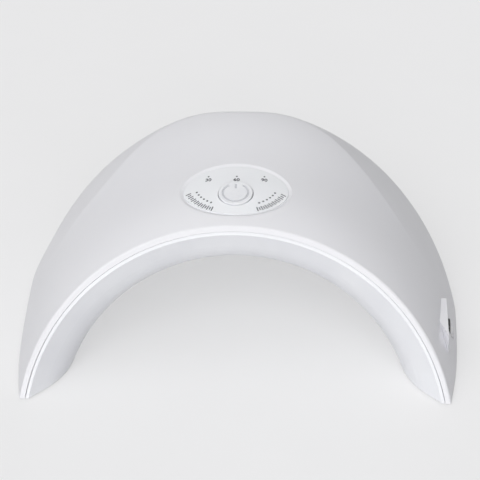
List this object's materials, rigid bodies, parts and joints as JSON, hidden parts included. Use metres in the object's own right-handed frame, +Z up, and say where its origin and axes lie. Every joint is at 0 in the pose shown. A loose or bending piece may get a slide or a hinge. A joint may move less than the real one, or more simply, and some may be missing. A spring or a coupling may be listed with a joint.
{
  "type": "led nail lamp",
  "caption": "Arched table-top lamp that cures nail gel: a hooded white case open at the front and below, lamps over the hand space, one push button and a side power socket.",
  "frame": {"origin": "on the table, under the middle of the lamp's length and width", "axes": "+Z up, +X to the right as seen from the open front, +Y from the open front to the closed back"},
  "size_m": [0.2055, 0.1524, 0.08],
  "materials": {
    "shell_white": "gloss",
    "liner_white": "satin",
    "panel_white": "gloss",
    "button_white": "satin",
    "switch_black": "matte",
    "plunger_red": "matte",
    "board_green": "satin",
    "chip_black": "matte",
    "connector_white": "matte",
    "can_aluminium": "satin",
    "strip_aluminium": "satin",
    "screw_steel": "satin",
    "socket_black": "matte",
    "pin_brass": "satin",
    "foot_rubber": "matte",
    "lens_clear": "gloss",
    "pipe_clear": "gloss",
    "led_ceramic": "matte",
    "lead_red": "matte",
    "lead_black": "matte"
  },
  "bodies": {
    "housing": {"board_connectors": "connector_white", "board_screws": "screw_steel", "capacitor": "can_aluminium", "case_screws": "screw_steel", "control_board": "board_green", "dc_socket_body": "socket_black", "dc_socket_pin": "pin_brass", "indicator_led_left": "led_ceramic", "indicator_led_middle": "led_ceramic", "indicator_led_right": "led_ceramic", "inner_liner": "liner_white", "led_lens_01": "lens_clear", "led_lens_02": "lens_clear", "led_lens_03": "lens_clear", "led_lens_04": "lens_clear", "led_lens_05": "lens_clear", "led_lens_06": "lens_clear", "led_lens_07": "lens_clear", "led_lens_08": "lens_clear", "led_lens_09": "lens_clear", "led_lens_10": "lens_clear", "led_lens_11": "lens_clear", "led_lens_12": "lens_clear", "led_package_01": "led_ceramic", "led_package_02": "led_ceramic", "led_package_03": "led_ceramic", "led_package_04": "led_ceramic", "led_package_05": "led_ceramic", "led_package_06": "led_ceramic", "led_package_07": "led_ceramic", "led_package_08": "led_ceramic", "led_package_09": "led_ceramic", "led_package_10": "led_ceramic", "led_package_11": "led_ceramic", "led_package_12": "led_ceramic", "led_strip_01": "strip_aluminium", "led_strip_02": "strip_aluminium", "led_strip_03": "strip_aluminium", "led_strip_04": "strip_aluminium", "light_pipe_left": "pipe_clear", "light_pipe_middle": "pipe_clear", "light_pipe_right": "pipe_clear", "microcontroller": "chip_black", "outer_shell": "shell_white", "panel_inlay": "panel_white", "power_transistor": "chip_black", "rubber_feet": "foot_rubber", "socket_lead_front": "lead_red", "socket_lead_rear": "lead_black", "strip_lead_01": "lead_black", "strip_lead_02": "lead_black", "strip_lead_03": "lead_black", "strip_lead_04": "lead_black", "strip_screws": "screw_steel", "switch_body": "switch_black"},
    "button": {"power_button": "button_white", "switch_plunger": "plunger_red"}
  },
  "joints": [
    {"name": "button_press", "type": "slide", "parent": "housing", "child": "button", "axis": [0, -0.1132, 0.9936], "range_m": [-0.0006, 0], "stiffness_N_per_m": 800}
  ]
}
